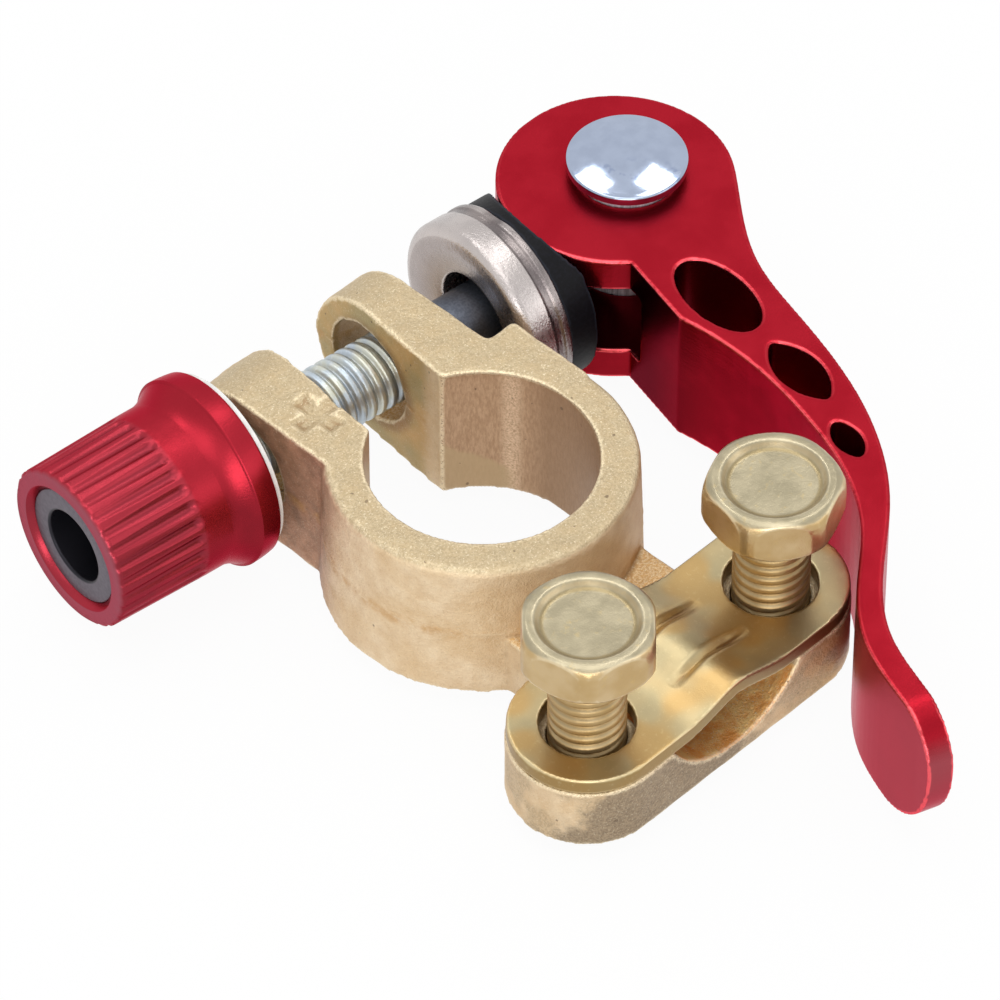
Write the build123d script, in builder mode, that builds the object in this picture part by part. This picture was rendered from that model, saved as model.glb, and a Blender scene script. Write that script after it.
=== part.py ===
from build123d import *
import math
import os

# Quick-release clamp for a battery post. A cast ring grips the post; a loose stud through its
# two ears is drawn tight by a cam lever at one end and set by a fluted nut at the other. A
# strap with two bolts holds the cable on the pad.
#
# Millimetres. The origin is on the axis of the bore, in the plane of the casting's underside.
# +Z is up, X runs along the line of the two strap bolts, and +Y points to the ears.

# ---- Casting -------------------------------------------------------------------------
body_height = 12.9
bore_radius = 9.0
ring_wall = 3.15
ring_edge = 0.7              # rounding of the ring's top edge
ring_draft = 2.0             # the ring's outside spreads this much downwards, in degrees
slot_width = 7.75            # gap between the ears
slot_skew = 5.8              # the slot is cut a little off square, in degrees
ear_left = 8.9               # outer face of the nut-side ear, from the bore axis
ear_right = 9.3              # outer face of the cam-side ear
ear_reach = 17.2             # centre of the stud holes, from the bore axis
ear_hole_radius = 4.4
pad_height = 5.65
pad_end_radius = 6.2
pad_reach = 20.95            # line of the strap bolts, from the bore axis
neck_left = 7.5              # the neck's sides, from the bore axis
neck_right = 6.8
shoulder_reach = 9.0         # flat shoulder beside the ring, up to the cam-side ear
shoulder_corner = 1.0
channel_radius = 7.7         # round seat for the cable
channel_lift = 3.65          # centre of that round seat above the pad's face
channel_stop = 0.3           # wall left between the channel and the pad's ring side

# ---- Strap and its bolts -------------------------------------------------------------
bolt_spacing = 20.1
bolt_radius = 3.0            # M6
bolt_length = 12.0
bolt_raise = 7.3             # the heads stand this far above the strap
thread_gap = 0.05            # running clearance on every threaded fit
head_flats = 10.0
head_height = 4.0
head_rim_radius = 4.65       # round ridge on the dished head
head_dish_radius = 4.1
head_dish_depth = 0.55
head_slope = 25.0            # bevel of the head's upper corners, in degrees
head_under_radius = 4.8      # bearing face under the head
head_under_slope = 45.0      # bevel from there out to the corners, in degrees
bolt_turns = (44.5, 21.5)    # where a corner of each head points, in degrees
strap_thickness = 1.4
strap_hole_radius = 3.65
strap_inset = 0.1            # the strap's edge lies just inside the pad's edge
arch_half_width = 6.2
arch_rise = 1.25
groove_spacing = 4.5         # the two grip grooves pressed across the arch
groove_depth = 0.5
groove_width = 1.0

# ---- Stud and adjusting nut ----------------------------------------------------------
stud_tilt = 6.5              # the loose stud lies askew in its big holes, in degrees
stud_radius = 3.0            # M6
shank_radius = 2.7
stud_thread_end = 4.5        # the nut-side thread ends here, from the ears' middle
stud_in_nut = 9.0            # thread inside the nut
pin_reach = 30.45            # pivot axis, along the stud from the ears' middle
washer_radius = 7.75
washer_thickness = 0.5
washer_hole_radius = 3.2
seat_gap = 0.15              # least gap from the washer to the ear
nut_length = 14.6
nut_radius = 7.0
nut_end_radius = 6.8
flute_length = 8.6
flute_count = 30
flute_radius = 0.8
flute_depth = 0.32
flange_radius = 8.05
flange_rim = 0.9
flare_length = 2.4
insert_radius = 4.95
insert_length = 9.5
insert_recess = 0.5
insert_fit = 0.02
recess_flare = 0.5
nut_bore_radius = 3.3
small_edge = 0.25

# ---- Cam, saddle and cup -------------------------------------------------------------
cam_radius = 9.5
cam_offset = 1.15            # eccentricity of the cam about its pivot
cam_gap = 0.3
lever_height = 12.8
cheek_gap = 6.7              # slot between the cam's two cheeks
cheek_depth = 9.5            # floor of that slot below the pivot axis
pin_radius = 4.0
pin_fit = 0.05
pin_head_radius = 4.85
pin_head_rim = 0.75
pin_head_dome = 0.75
pin_head_gap = 0.9
saddle_web = 1.1             # thickness behind the middle of the seat
saddle_rim = 2.75            # thickness at the edge
saddle_seat_radius = 10.6
saddle_hole_radius = 3.4
cup_radius = 8.2
saddle_step = 0.3            # the saddle's edge lies this far inside the cup's
cup_thickness = 4.1
cup_hole_radius = 3.85
cup_shoulder = 0.9
cup_groove_width = 0.7
cup_groove_depth = 0.22
cup_flat_depth = 0.42        # small flat ground where the cup's sprue was
cup_flat_width = 3.6

# Lever outline in plan, from the pivot axis, along X and Y. From the bend on, where the arm
# passes the pad's end, Y is measured from the line of the strap bolts.
pivot_line = 13.75           # the pivot lies this far from the bore axis, along Y
arm_leave = -35.0            # the arm's outer side leaves the cam's circle at this angle
arm_outer = [(5.15, -7.2), (0.0, -14.2), (-2.1, -20.6)]
outer_bend = [(-5.3, 4.8), (-11.65, -4.2), (-18.1, -9.4), (-21.9, -13.8), (-24.3, -20.1),
              (-25.7, -23.8)]
arm_inner = [(-8.85, -14.2), (-8.5, -21.2), (-9.7, -28.1)]
inner_bend = [(-12.3, -0.4), (-15.5, -4.7), (-20.2, -8.6), (-23.7, -12.6), (-26.3, -19.1),
              (-27.7, -23.0)]
arm_corner = (-7.15, -7.35)  # where the arm's inner side leaves the cam
oval_hole = ((-4.95, -14.6), 9.1, 4.9)
hole_lean = 8.6              # lean of the oval hole along the arm, in degrees
lens_holes = [((-5.85, -21.0), (-7.15, -28.4), 3.6, 0.4),
              ((-8.6, -30.2), (-9.95, -34.4), 2.2, 0.5)]
nose_top_run = 4.6           # length of the paddle's rounded end, above and below its tip
nose_run = 6.7
nose_peak = 8.4              # height of that tip above the lever's underside

# ---- Places worked out from the sizes ------------------------------------------------
saddle_radius = cup_radius - saddle_step
arm_outer += [(x, y - pad_reach - pivot_line) for x, y in outer_bend]
arm_inner += [(x, y - pad_reach - pivot_line) for x, y in inner_bend]
ring_radius = bore_radius + ring_wall
ring_foot = ring_radius + body_height * math.tan(math.radians(ring_draft))
mid_height = body_height / 2
bolt_x = bolt_spacing / 2
channel_height = pad_height + channel_lift
pad_back = pad_reach - pad_end_radius
pad_front = pad_reach + pad_end_radius
strap_top = pad_height + strap_thickness
head_bottom = strap_top + bolt_raise

tilt = math.radians(stud_tilt)
stud_axis_dir = Vector(math.cos(tilt), -math.sin(tilt), 0)
stud_side_dir = Vector(math.sin(tilt), math.cos(tilt), 0)
stud_centre = Vector(0, ear_reach, mid_height)
stud_axis = Axis(stud_centre, stud_axis_dir)
# Section plane of everything turned on the stud: x along the stud, y straight up.
stud_section = Plane(origin=stud_centre, x_dir=stud_axis_dir, z_dir=-stud_side_dir)

washer_face = (ear_left + seat_gap) / math.cos(tilt) + mid_height * math.tan(tilt)
flange_face = washer_face + washer_thickness
nut_end = flange_face + nut_length
stud_end = flange_face + stud_in_nut

saddle_seat = pin_reach - cam_offset - cam_radius - cam_gap
saddle_face = saddle_seat - saddle_web
cup_face = saddle_face - cup_thickness

pin_centre = stud_centre + stud_axis_dir * pin_reach
cam_centre = pin_centre - stud_axis_dir * cam_offset
lever_bottom = mid_height - lever_height / 2
lever_top = mid_height + lever_height / 2
lever_base = Plane(origin=(pin_centre.X, pin_centre.Y, lever_bottom))
cam_middle = Plane(origin=pin_centre, x_dir=stud_axis_dir, z_dir=(0, 0, 1))


def across_stud(distance):
    """Plane square to the stud, facing the cam, at a distance from the ears' middle."""
    return Plane(origin=stud_centre + stud_axis_dir * distance, x_dir=stud_side_dir,
                 z_dir=stud_axis_dir)


def lens(start, end, width, corner):
    """Add a hole shape of two arcs between two points, with rounded corners."""
    a, b = Vector(*start), Vector(*end)
    middle = (a + b) * 0.5
    side = (b - a).normalized().rotate(Axis.Z, 90) * (width / 2)
    with BuildSketch(mode=Mode.PRIVATE) as shape:
        with BuildLine():
            ThreePointArc(a, middle + side, b)
            ThreePointArc(b, middle - side, a)
        make_face()
        fillet(shape.vertices(), corner)
    add(shape.sketch)


os.makedirs("parts", exist_ok=True)

# ---- The casting: split ring, two ears, neck and cable pad ---------------------------
with BuildPart() as clamp_body:
    with BuildSketch():
        Circle(ring_foot)
    extrude(amount=body_height, taper=ring_draft)
    with BuildSketch() as shoulder_plan:
        Rectangle(ring_foot, shoulder_reach, align=Align.MIN)
        shoulder_tip = Vector(ring_foot, shoulder_reach)
        fillet(shoulder_plan.vertices().sort_by_distance(shoulder_tip)[0], shoulder_corner)
    extrude(amount=body_height, taper=ring_draft)
    with BuildSketch(Plane.YZ.offset(-ear_left)):
        with Locations((ear_reach / 2, mid_height)):
            Rectangle(ear_reach, body_height)
        with Locations((ear_reach, mid_height)):
            Circle(mid_height)
    extrude(amount=ear_left + ear_right)
    with BuildSketch():
        with Locations((-neck_left, -pad_reach)):
            Rectangle(neck_left + neck_right, pad_reach, align=(Align.MIN, Align.MIN))
        with Locations((0, -pad_reach)):
            SlotCenterToCenter(bolt_spacing, 2 * pad_end_radius)
    extrude(amount=pad_height)
    # Bore and the slot between the ears.
    with BuildSketch():
        Circle(bore_radius)
    extrude(amount=body_height, mode=Mode.SUBTRACT)
    with BuildSketch(Plane(origin=(0, bore_radius, 0)).rotated((0, 0, -slot_skew))):
        with Locations((0, ring_radius - bore_radius)):
            Rectangle(slot_width, 4 * mid_height, align=(Align.CENTER, Align.CENTER))
        with Locations((0, ear_reach)):
            Rectangle(slot_width, 2 * ear_reach)
    extrude(amount=body_height, mode=Mode.SUBTRACT)
    # Big stud holes straight through both ears.
    with BuildSketch(Plane.YZ.offset(-ring_radius)):
        with Locations((ear_reach, mid_height)):
            Circle(ear_hole_radius)
    extrude(amount=2 * ring_radius, mode=Mode.SUBTRACT)
    # Round channel for the cable, open at the front and stopped at the ring.
    with BuildSketch(Plane.XZ.offset(pad_back + channel_stop)):
        with Locations((0, channel_height)):
            Circle(channel_radius)
    extrude(amount=2 * pad_end_radius, mode=Mode.SUBTRACT)
    # Tapped holes for the strap bolts.
    with Locations((bolt_x, -pad_reach, pad_height), (-bolt_x, -pad_reach, pad_height)):
        Hole(bolt_radius + thread_gap, depth=pad_height)
    ring_top = clamp_body.edges().filter_by(GeomType.CIRCLE).filter_by(
        lambda edge: abs(edge.radius - ring_radius) < 0.01
        and abs(edge.center().Z - body_height) < 0.01)
    fillet(ring_top, ring_edge)
clamp_body.part.label = "clamp_body"

# ---- The cable strap: a pressed plate with an arch over the cable --------------------
with BuildPart() as cable_strap:
    with BuildSketch(Plane.XZ.offset(pad_reach)) as arch_section:
        with BuildLine():
            half = bolt_x + pad_end_radius
            under = Spline((-arch_half_width, pad_height), (0, pad_height + arch_rise),
                           (arch_half_width, pad_height), tangents=[(1, 0), (1, 0)])
            over = Spline((-arch_half_width, strap_top), (0, strap_top + arch_rise),
                          (arch_half_width, strap_top), tangents=[(1, 0), (1, 0)])
            Line(under @ 0, (-half, pad_height))
            Line((-half, pad_height), (-half, strap_top))
            Line((-half, strap_top), over @ 0)
            Line(over @ 1, (half, strap_top))
            Line((half, strap_top), (half, pad_height))
            Line((half, pad_height), under @ 1)
        make_face()
    extrude(amount=pad_end_radius, both=True)
    # Grip ribs: a groove pressed in from above stands out below.
    arch_crest = pad_height + arch_rise
    for side in (-1, 1):
        rib_y = -pad_reach + side * groove_spacing / 2
        with BuildSketch(Plane.YZ.offset(-arch_half_width / 3)):
            with BuildLine():
                Polyline((rib_y - groove_width / 2, arch_crest + strap_thickness / 4),
                         (rib_y, arch_crest - groove_depth),
                         (rib_y + groove_width / 2, arch_crest + strap_thickness / 4),
                         close=True)
            make_face()
        extrude(amount=2 * arch_half_width / 3)
        with BuildSketch(Plane.YZ.offset(-arch_half_width)):
            with BuildLine():
                Polyline((rib_y - groove_width / 2, arch_crest + strap_thickness + 0.01),
                         (rib_y, arch_crest + strap_thickness - groove_depth),
                         (rib_y + groove_width / 2, arch_crest + strap_thickness + 0.01),
                         close=True)
            make_face()
        extrude(amount=2 * arch_half_width, mode=Mode.SUBTRACT)
    with BuildSketch(Plane.XY.offset(pad_height)):
        with Locations((0, -pad_reach)):
            SlotCenterToCenter(bolt_spacing, 2 * (pad_end_radius - strap_inset))
    extrude(amount=2 * strap_thickness + arch_rise, mode=Mode.INTERSECT)
    with Locations((bolt_x, -pad_reach, strap_top), (-bolt_x, -pad_reach, strap_top)):
        Hole(strap_hole_radius, depth=strap_thickness)
cable_strap.part.label = "cable_strap"


# ---- The two strap bolts -------------------------------------------------------------
def strap_bolt(x, turn):
    """M6 hexagon bolt with a dished head, standing in the pad's tapped hole at x."""
    head_top = head_bottom + head_height
    corner_radius = head_flats / math.sqrt(3)
    bevel_drop = (corner_radius - head_rim_radius) * math.tan(math.radians(head_slope))
    bevel_rise = (corner_radius - head_under_radius) * math.tan(math.radians(head_under_slope))
    bolt_axis = Axis((x, -pad_reach, 0), (0, 0, 1))
    with BuildPart() as bolt:
        with BuildSketch(Plane.XY.offset(head_bottom)):
            with Locations((x, -pad_reach)):
                RegularPolygon(corner_radius, 6, rotation=turn)
        extrude(amount=head_height)
        with BuildSketch(Plane(origin=(x, -pad_reach, 0), x_dir=(1, 0, 0), z_dir=(0, -1, 0))):
            with BuildLine():
                Polyline((0, head_bottom), (head_under_radius, head_bottom),
                         (corner_radius, head_bottom + bevel_rise),
                         (corner_radius, head_top - bevel_drop), (head_rim_radius, head_top),
                         (head_dish_radius, head_top),
                         (head_dish_radius - head_dish_depth, head_top - head_dish_depth),
                         (0, head_top - head_dish_depth), close=True)
            make_face()
        revolve(axis=bolt_axis, mode=Mode.INTERSECT)
        with BuildSketch(Plane.XY.offset(head_bottom)):
            with Locations((x, -pad_reach)):
                Circle(bolt_radius)
        extrude(amount=-bolt_length)
        chamfer(bolt.faces().sort_by(Axis.Z)[0].edges(), thread_gap * 10)
    return bolt.part


strap_bolt_left = strap_bolt(-bolt_x, bolt_turns[0])
strap_bolt_left.label = "strap_bolt_left"
strap_bolt_right = strap_bolt(bolt_x, bolt_turns[1])
strap_bolt_right.label = "strap_bolt_right"

# ---- The stud: thread for the nut, plain shank, thread in the pivot pin --------------
stud_far_end = pin_reach + pin_radius - small_edge
pin_thread_start = pin_reach - pin_radius - small_edge
with BuildPart() as clamp_stud:
    with BuildSketch(stud_section):
        with BuildLine():
            Polyline((-stud_end, 0), (-stud_end, shank_radius - small_edge),
                     (-stud_end + 2 * small_edge, stud_radius), (stud_thread_end, stud_radius),
                     (stud_thread_end + small_edge, shank_radius),
                     (pin_thread_start, shank_radius),
                     (pin_thread_start + small_edge, stud_radius),
                     (stud_far_end, stud_radius), (stud_far_end, 0), close=True)
        make_face()
    revolve(axis=stud_axis)
clamp_stud.part.label = "clamp_stud"

# ---- The adjusting nut, its threaded insert and the washer behind it -----------------
with BuildPart() as adjusting_nut:
    with BuildSketch(stud_section):
        flare_start = flange_face + flange_rim + flare_length
        insert_bottom = nut_end - insert_recess - insert_length
        with BuildLine():
            Line((-nut_end + small_edge, nut_end_radius), (-nut_end + flute_length, nut_radius))
            Line((-nut_end + flute_length, nut_radius), (-flare_start, nut_radius))
            flare = TangentArc((-flare_start, nut_radius),
                               (-flange_face - flange_rim, flange_radius - small_edge),
                               tangent=(1, 0))
            Line(flare @ 1, (-flange_face - flange_rim + small_edge, flange_radius))
            Polyline((-flange_face - flange_rim + small_edge, flange_radius),
                     (-flange_face - small_edge, flange_radius),
                     (-flange_face, flange_radius - small_edge),
                     (-flange_face, nut_bore_radius), (-insert_bottom, nut_bore_radius),
                     (-insert_bottom, insert_radius), (-nut_end + insert_recess, insert_radius),
                     (-nut_end, insert_radius + recess_flare),
                     (-nut_end, nut_end_radius - small_edge),
                     (-nut_end + small_edge, nut_end_radius))
        make_face()
    revolve(axis=stud_axis)
    with BuildSketch(across_stud(-nut_end + flute_length)):
        with PolarLocations(nut_radius + flute_radius - flute_depth, flute_count):
            Circle(flute_radius)
    extrude(amount=-flute_length - small_edge, mode=Mode.SUBTRACT)
adjusting_nut.part.label = "adjusting_nut"

with BuildPart() as nut_insert:
    with BuildSketch(across_stud(-nut_end + insert_recess)):
        Circle(insert_radius - insert_fit)
        Circle(stud_radius + thread_gap, mode=Mode.SUBTRACT)
    extrude(amount=insert_length)
    chamfer(nut_insert.edges().filter_by(GeomType.CIRCLE).group_by(Axis(stud_centre,
            stud_axis_dir))[0].sort_by(SortBy.RADIUS)[0], small_edge)
nut_insert.part.label = "nut_insert"

with BuildPart() as nut_washer:
    with BuildSketch(across_stud(-washer_face)):
        Circle(washer_radius)
        Circle(washer_hole_radius, mode=Mode.SUBTRACT)
    extrude(amount=-washer_thickness)
nut_washer.part.label = "nut_washer"

# ---- The thrust cup and the saddle that the cam bears on -----------------------------
with BuildPart() as thrust_cup:
    cup_back = cup_face + cup_thickness
    groove_start = cup_back - 2 * cup_groove_width
    with BuildSketch(stud_section):
        with BuildLine():
            Polyline((cup_face + cup_shoulder, cup_radius),
                     (groove_start - cup_groove_width, cup_radius),
                     (groove_start - cup_groove_width / 2, cup_radius - cup_groove_depth),
                     (groove_start, cup_radius - cup_groove_depth),
                     (groove_start + cup_groove_width / 2, cup_radius),
                     (cup_back - small_edge, cup_radius),
                     (cup_back, cup_radius - small_edge), (cup_back, cup_hole_radius),
                     (cup_face + small_edge, cup_hole_radius),
                     (cup_face, cup_hole_radius + small_edge),
                     (cup_face, cup_radius - cup_shoulder))
            RadiusArc((cup_face, cup_radius - cup_shoulder),
                      (cup_face + cup_shoulder, cup_radius), cup_shoulder)
        make_face()
    revolve(axis=stud_axis)
    with BuildSketch(Plane(origin=stud_centre + stud_axis_dir * cup_face,
                           x_dir=stud_side_dir, z_dir=stud_axis_dir)):
        with Locations((0, cup_radius - cup_flat_depth)):
            Rectangle(cup_flat_width, cup_radius, align=(Align.MAX, Align.MIN))
    extrude(amount=cup_thickness, mode=Mode.SUBTRACT)
thrust_cup.part.label = "thrust_cup"

with BuildPart() as cam_saddle:
    with BuildSketch(across_stud(saddle_face)):
        Circle(saddle_radius)
        Circle(saddle_hole_radius, mode=Mode.SUBTRACT)
    extrude(amount=saddle_rim)
    with BuildSketch(Plane(origin=stud_centre, x_dir=stud_axis_dir, z_dir=(0, 0, 1))):
        with Locations((saddle_seat + saddle_seat_radius, 0)):
            Circle(saddle_seat_radius)
    extrude(amount=saddle_radius, both=True, mode=Mode.SUBTRACT)
cam_saddle.part.label = "cam_saddle"

# ---- The cam lever: an extruded section, slotted across the cam ----------------------
with BuildPart() as cam_lever:
    cam_place = cam_centre - pin_centre
    tip_dir = (Vector(*arm_inner[-1]) - Vector(*arm_inner[-2])).normalized()
    tip_side = tip_dir.rotate(Axis.Z, -90)
    arm_side = Vector(1, 0).rotate(Axis.Z, arm_leave)
    arm_start = cam_place + arm_side * cam_radius
    arm_heading = arm_side.rotate(Axis.Z, -90)
    tip_foot = Vector(*arm_inner[-1]) + lever_base.origin
    with BuildSketch(lever_base):
        with Locations((cam_place.X, cam_place.Y)):
            Circle(cam_radius)
        with BuildLine():
            inner = Spline(arm_inner)
            outer = Spline([arm_start] + arm_outer, tangents=[arm_heading, tip_dir])
            Line(outer @ 1, inner @ 1)
            Line(inner @ 0, arm_corner)
            Line(arm_corner, outer @ 0)
        make_face()
    extrude(amount=lever_height)
    # The paddle's end is round, seen from the side.
    for run, edge in ((nose_top_run, lever_height), (nose_run, 0)):
        with BuildSketch(Plane(origin=tip_foot, x_dir=tip_dir, z_dir=tip_side)):
            with Locations((0, (nose_peak + edge) / 2)):
                Rectangle(2 * run, abs(edge - nose_peak))
            with Locations((-run, nose_peak)):
                Ellipse(run, abs(edge - nose_peak), mode=Mode.SUBTRACT)
        extrude(amount=lever_height, both=True, mode=Mode.SUBTRACT)
    with BuildSketch(lever_base):
        with Locations(oval_hole[0]):
            Ellipse(oval_hole[2] / 2, oval_hole[1] / 2, rotation=-hole_lean)
        for start, end, width, corner in lens_holes:
            lens(start, end, width, corner)
    extrude(amount=lever_height, mode=Mode.SUBTRACT)
    with BuildSketch(cam_middle):
        with Locations((0, -cheek_depth)):
            Rectangle(4 * cam_radius, 3 * cam_radius, align=(Align.CENTER, Align.MIN))
    extrude(amount=cheek_gap / 2, both=True, mode=Mode.SUBTRACT)
    with BuildSketch(lever_base):
        Circle(pin_radius + pin_fit)
    extrude(amount=lever_height, mode=Mode.SUBTRACT)
cam_lever.part.label = "cam_lever"

# ---- The pivot pin: a cross-tapped barrel with a domed head --------------------------
with BuildPart() as pivot_pin:
    head_under = lever_top + pin_head_gap
    rim_top = head_under + pin_head_rim
    with BuildSketch(Plane(origin=(pin_centre.X, pin_centre.Y, 0), x_dir=(1, 0, 0),
                           z_dir=(0, -1, 0))):
        with BuildLine():
            Polyline((0, rim_top + pin_head_dome), (0, lever_bottom + small_edge),
                     (pin_radius - small_edge, lever_bottom + small_edge),
                     (pin_radius, lever_bottom + 2 * small_edge), (pin_radius, head_under),
                     (pin_head_radius, head_under), (pin_head_radius, rim_top))
            SagittaArc((pin_head_radius, rim_top), (-pin_head_radius, rim_top),
                       -pin_head_dome)
        make_face()
        split(bisect_by=Plane.YZ, keep=Keep.TOP)
    revolve(axis=Axis((pin_centre.X, pin_centre.Y, 0), (0, 0, 1)))
    with BuildSketch(across_stud(pin_reach)):
        Circle(stud_radius + thread_gap)
    extrude(amount=2 * pin_radius, both=True, mode=Mode.SUBTRACT)
pivot_pin.part.label = "pivot_pin"

pieces = [clamp_body.part, cable_strap.part, strap_bolt_left, strap_bolt_right,
          clamp_stud.part, adjusting_nut.part, nut_insert.part, nut_washer.part,
          thrust_cup.part, cam_saddle.part, cam_lever.part, pivot_pin.part]
for piece in pieces:
    export_step(piece, f"parts/{piece.label}.step")
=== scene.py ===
import math

import bmesh
import bpy
import numpy as np
from mathutils import Matrix, Vector, noise


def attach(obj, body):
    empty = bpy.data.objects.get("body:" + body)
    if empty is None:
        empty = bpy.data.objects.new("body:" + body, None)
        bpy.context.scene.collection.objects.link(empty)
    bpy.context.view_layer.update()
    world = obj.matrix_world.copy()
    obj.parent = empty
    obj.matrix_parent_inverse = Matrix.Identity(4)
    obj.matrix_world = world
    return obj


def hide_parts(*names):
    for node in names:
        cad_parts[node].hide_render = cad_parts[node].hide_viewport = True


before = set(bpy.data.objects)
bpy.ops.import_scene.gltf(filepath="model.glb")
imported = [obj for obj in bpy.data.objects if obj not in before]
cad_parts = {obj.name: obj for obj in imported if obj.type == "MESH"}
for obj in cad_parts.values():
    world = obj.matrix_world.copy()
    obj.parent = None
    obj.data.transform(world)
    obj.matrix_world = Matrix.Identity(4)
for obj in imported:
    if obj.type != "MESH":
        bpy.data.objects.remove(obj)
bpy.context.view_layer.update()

# Quick-release clamp for a battery post: cast body, cable strap with two bolts, loose stud,
# fluted adjusting nut, thrust cup with its saddle, and a cam lever on a pin. Sizes are in
# millimetres; a mesh is turned to metres when it is finished.

# ---- Shared sizes --------------------------------------------------------------------
# The stud lies askew through the middle of the ears, the lever's pin stands across its far
# end, and the strap bolts stand in the pad with their heads well clear of the strap.
mid_height = 6.45
ear_middle = 17.2
tilt = math.radians(6.5)
stud_along = Vector((math.cos(tilt), -math.sin(tilt), 0))
stud_side = Vector((math.sin(tilt), math.cos(tilt), 0))
stud_middle = Vector((0, ear_middle, mid_height))
pin_x, pin_y = 30.254, 13.753
head_bottom, head_top = 14.35, 18.35

# ---- Camera --------------------------------------------------------------------------
# A long lens from the front left, looking down at about 46 degrees.
aim = Vector((-2.3, -4.2, 12.9)) * 0.001
to_camera = Vector((-0.491, -0.4826, 0.7254)).normalized()
camera = bpy.data.objects.new("camera", bpy.data.cameras.new("camera"))
camera.data.lens = 285
camera.data.sensor_width = 36
camera_distance = 0.6
camera.location = aim + to_camera * camera_distance
camera.rotation_mode = "QUATERNION"
camera.rotation_quaternion = to_camera.to_track_quat("Z", "Y")
bpy.context.scene.collection.objects.link(camera)
bpy.context.scene.camera = camera
bpy.context.scene.view_settings.view_transform = "Standard"


# ---- Floor, background and lamps -----------------------------------------------------
# A white table under the lowest point of the cup, a white surround, two small windows of
# light that show in the gloss, a broad ceiling, and a wall of light on each side.
class Strand:
    """A node socket that takes part in sums: each operator adds its Math node."""

    def __init__(self, tree, socket=None):
        self.tree, self.socket = tree, socket

    def node(self, kind, inputs=(), out=0, **settings):
        made = self.tree.nodes.new(kind)
        for name, value in settings.items():
            setattr(made, name, value)
        for key, value in inputs.items() if isinstance(inputs, dict) else enumerate(inputs):
            if isinstance(value, Strand):
                self.tree.links.new(value.socket, made.inputs[key])
            else:
                made.inputs[key].default_value = value
        return Strand(self.tree, made.outputs[out])

    def also(self, out):
        """Another output of the same node."""
        return Strand(self.tree, self.socket.node.outputs[out])

    def sum_of(self, operation, *values):
        return self.node("ShaderNodeMath", values, operation=operation)

    def __add__(self, other):
        return self.sum_of("ADD", self, other)

    def __sub__(self, other):
        return self.sum_of("SUBTRACT", self, other)

    def __rsub__(self, other):
        return self.sum_of("SUBTRACT", other, self)

    def __mul__(self, other):
        return self.sum_of("MULTIPLY", self, other)

    def __truediv__(self, other):
        return self.sum_of("DIVIDE", self, other)

    def __lt__(self, other):
        return self.sum_of("LESS_THAN", self, other)

    def __gt__(self, other):
        return self.sum_of("GREATER_THAN", self, other)

    __radd__, __rmul__ = __add__, __mul__

    def rise(self, low, high):
        """0 below low, 1 above high, and smooth between them."""
        return self.node("ShaderNodeMapRange", (self, low, high, 0.0, 1.0),
                         interpolation_type="SMOOTHSTEP")


def plainly_seen(tree):
    """1 where the camera, a reflection or clear material looks on, and 0 for lighting."""
    path = tree.node("ShaderNodeLightPath")
    seen = path.sum_of("MAXIMUM", path.also("Is Camera Ray"), path.also("Is Glossy Ray"))
    return path.sum_of("MAXIMUM", seen, path.also("Is Transmission Ray"))


background = bpy.data.worlds.new("surround")
background.use_nodes = True
bpy.context.scene.world = background
sky = background.node_tree.nodes["Background"]
sky_light = 0.7
strength = plainly_seen(Strand(background.node_tree)) * (1 - sky_light) + sky_light
background.node_tree.links.new(strength.socket, sky.inputs["Strength"])
sky.inputs["Color"].default_value = (1, 1, 1, 1)

floor_height = -1.76
glow_share = 0.95
mesh = bpy.data.meshes.new("table_top")
mesh.from_pydata([(x, y, floor_height / 1000)
                  for x, y in ((-1, -1), (1, -1), (1, 1), (-1, 1))], [], [(0, 1, 2, 3)])
table_top = bpy.data.objects.new("table_top", mesh)
bpy.context.scene.collection.objects.link(table_top)
white_table = bpy.data.materials.new("white_table")
white_table.use_nodes = True
tree = white_table.node_tree
tree.nodes.clear()
board = Strand(tree)
cloth = board.node("ShaderNodeBsdfDiffuse", {"Color": (0.85, 0.85, 0.85, 1)})
glow = board.node("ShaderNodeEmission", {"Color": (1, 1, 1, 1), "Strength": 1.0})
blend = board.node("ShaderNodeMixShader", (plainly_seen(board) * glow_share, cloth, glow))
tree.links.new(blend.socket, tree.nodes.new("ShaderNodeOutputMaterial").inputs[0])
mesh.materials.append(white_table)

for name, place, width, height, power in (
        ("window_left", (0.085, 0.302, 0.535), 0.13, 0.20, 0.30),
        ("window_right", (0.304, 0.080, 0.535), 0.13, 0.20, 0.30),
        ("ceiling", (-0.10, -0.05, 0.80), 0.60, 0.60, 1.5),
        ("wall_left", (-0.50, -0.45, 0.28), 0.45, 0.35, 1.5),
        ("wall_right", (0.35, -0.60, 0.30), 0.50, 0.40, 0.6)):
    lamp = bpy.data.objects.new(name, bpy.data.lights.new(name, "AREA"))
    lamp.data.shape = "RECTANGLE"
    lamp.data.size, lamp.data.size_y, lamp.data.energy = width, height, power
    lamp.location = place
    lamp.rotation_mode = "QUATERNION"
    lamp.rotation_quaternion = Vector(place).to_track_quat("Z", "Y")
    bpy.context.scene.collection.objects.link(lamp)


# ---- Casting -------------------------------------------------------------------------
# The split ring, its two ears, the neck and the cable pad are one sand-cast brass piece,
# tumbled until its edges shine. The bore is machined, and a plus sign is cast into one ear.
def colour(red, green, blue):
    """A colour given in the usual 0 to 255 steps, as the linear one that a shader takes."""
    return tuple((c / 12.92 if c <= 0.04045 else ((c + 0.055) / 1.055) ** 2.4)
                 for c in (red / 255, green / 255, blue / 255)) + (1.0,)


def tint(share, low, high):
    """Goes from one colour to another as share goes from 0 to 1."""
    return share.node("ShaderNodeMix", {0: share, 6: low, 7: high}, out=2, data_type="RGBA")


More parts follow.
